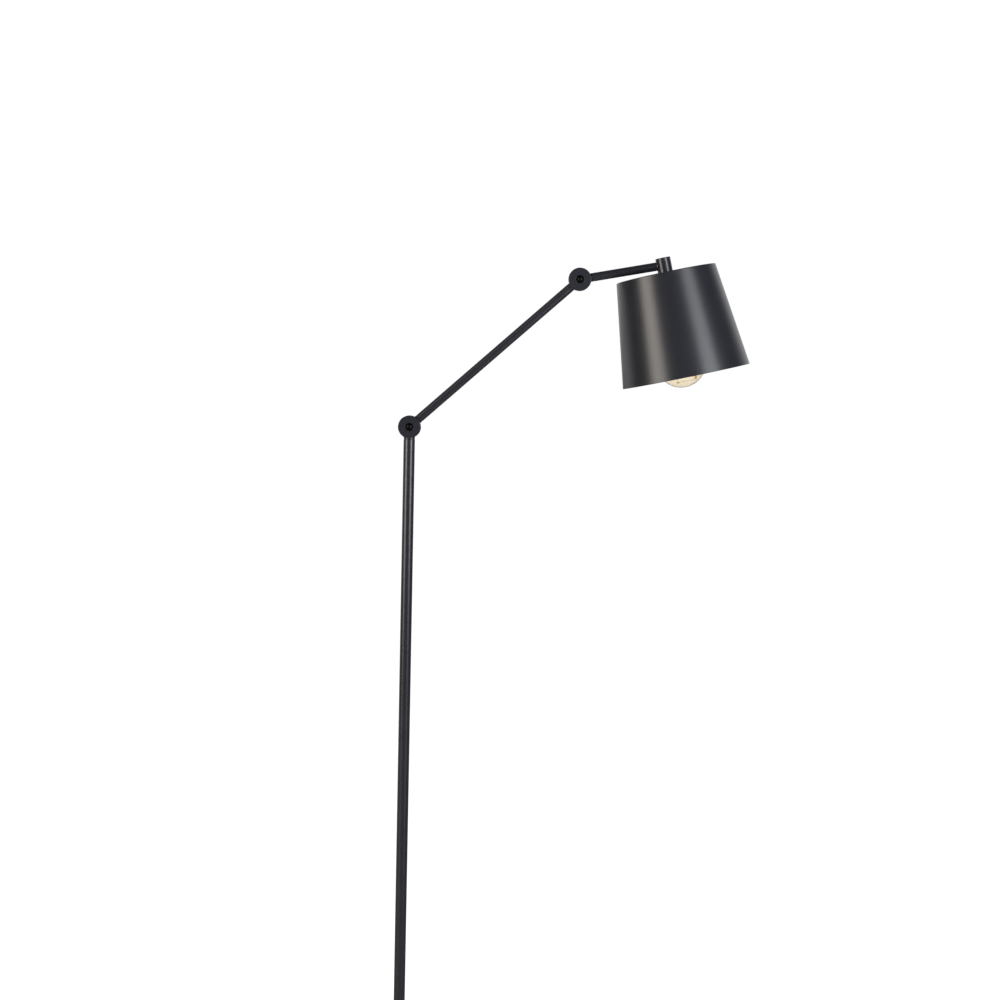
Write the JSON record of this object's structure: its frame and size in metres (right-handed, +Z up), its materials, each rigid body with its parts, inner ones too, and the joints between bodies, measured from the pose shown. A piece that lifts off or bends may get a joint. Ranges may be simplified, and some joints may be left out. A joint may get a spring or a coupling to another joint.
{
  "type": "adjustable arm floor lamp",
  "caption": "Slim floor lamp: round foot, straight pole, jointed arms and a conical metal shade over a clear globe lamp, posed by friction knuckles.",
  "frame": {"origin": "centre of the foot's underside, on the floor", "axes": "+Z up the pole, +X the way the arms reach, both knuckles turn about +Y"},
  "size_m": [0.6037, 0.2622, 1.4952],
  "materials": {
    "paint": "satin anthracite powder coat",
    "shade_paint": "satin anthracite powder coat",
    "zinc_steel": "zinc plated steel",
    "black_steel": "black oxide steel",
    "brass": "pressed brass",
    "iron": "raw casting",
    "felt": "pressed felt",
    "rubber": "moulded rubber",
    "fibre": "pressed friction fibre",
    "holder_plastic": "moulded thermoset",
    "ceramic": "unglazed",
    "lead_sleeve": "silicone sleeve",
    "bulb_glass": "clear, faintly amber",
    "filament": "phosphor coated"
  },
  "bodies": {
    "stand": {"base_cover": "paint", "base_weight": "iron", "base_pad": "felt", "base_gland": "rubber", "base_nipple": "zinc_steel", "base_washer": "zinc_steel", "base_nut": "zinc_steel", "pole_foot": "paint", "lower_pole": "paint", "pole_coupler": "paint", "upper_pole": "paint", "stand_lead": "lead_sleeve", "knuckle_1_pole_half": "paint", "knuckle_1_stop_pin": "zinc_steel"},
    "lower_arm": {"knuckle_1_arm_half": "paint", "knuckle_1_friction_washer": "fibre", "knuckle_1_screw": "black_steel", "knuckle_1_disc_spring": "zinc_steel", "knuckle_1_nut": "black_steel", "lower_arm_tube": "paint", "lower_arm_lead": "lead_sleeve", "knuckle_2_lower_half": "paint", "knuckle_2_stop_pin": "zinc_steel"},
    "head": {"knuckle_2_upper_half": "paint", "knuckle_2_friction_washer": "fibre", "knuckle_2_screw": "black_steel", "knuckle_2_disc_spring": "zinc_steel", "knuckle_2_nut": "black_steel", "upper_arm_tube": "paint", "upper_arm_end_plug": "paint", "upper_arm_lead": "lead_sleeve", "head_hub": "paint", "head_nipple": "zinc_steel", "shade": "shade_paint", "shade_washer": "zinc_steel", "shade_nut": "zinc_steel", "holder_cap": "holder_plastic", "holder_body": "holder_plastic", "holder_insert": "ceramic", "holder_contact": "brass", "holder_shell": "brass", "bulb_glass": "bulb_glass", "bulb_cap": "brass", "bulb_filament": "filament"}
  },
  "joints": [
    {"name": "knuckle_1_hinge", "type": "hinge", "parent": "stand", "child": "lower_arm", "pos_m": [0, 0, 1.25], "axis": [0, 1, 0], "range_deg": [-159, 61]},
    {"name": "knuckle_2_hinge", "type": "hinge", "parent": "lower_arm", "child": "head", "pos_m": [0.23394, 0, 1.46064], "axis": [0, 1, 0], "range_deg": [-90, 60]}
  ]
}
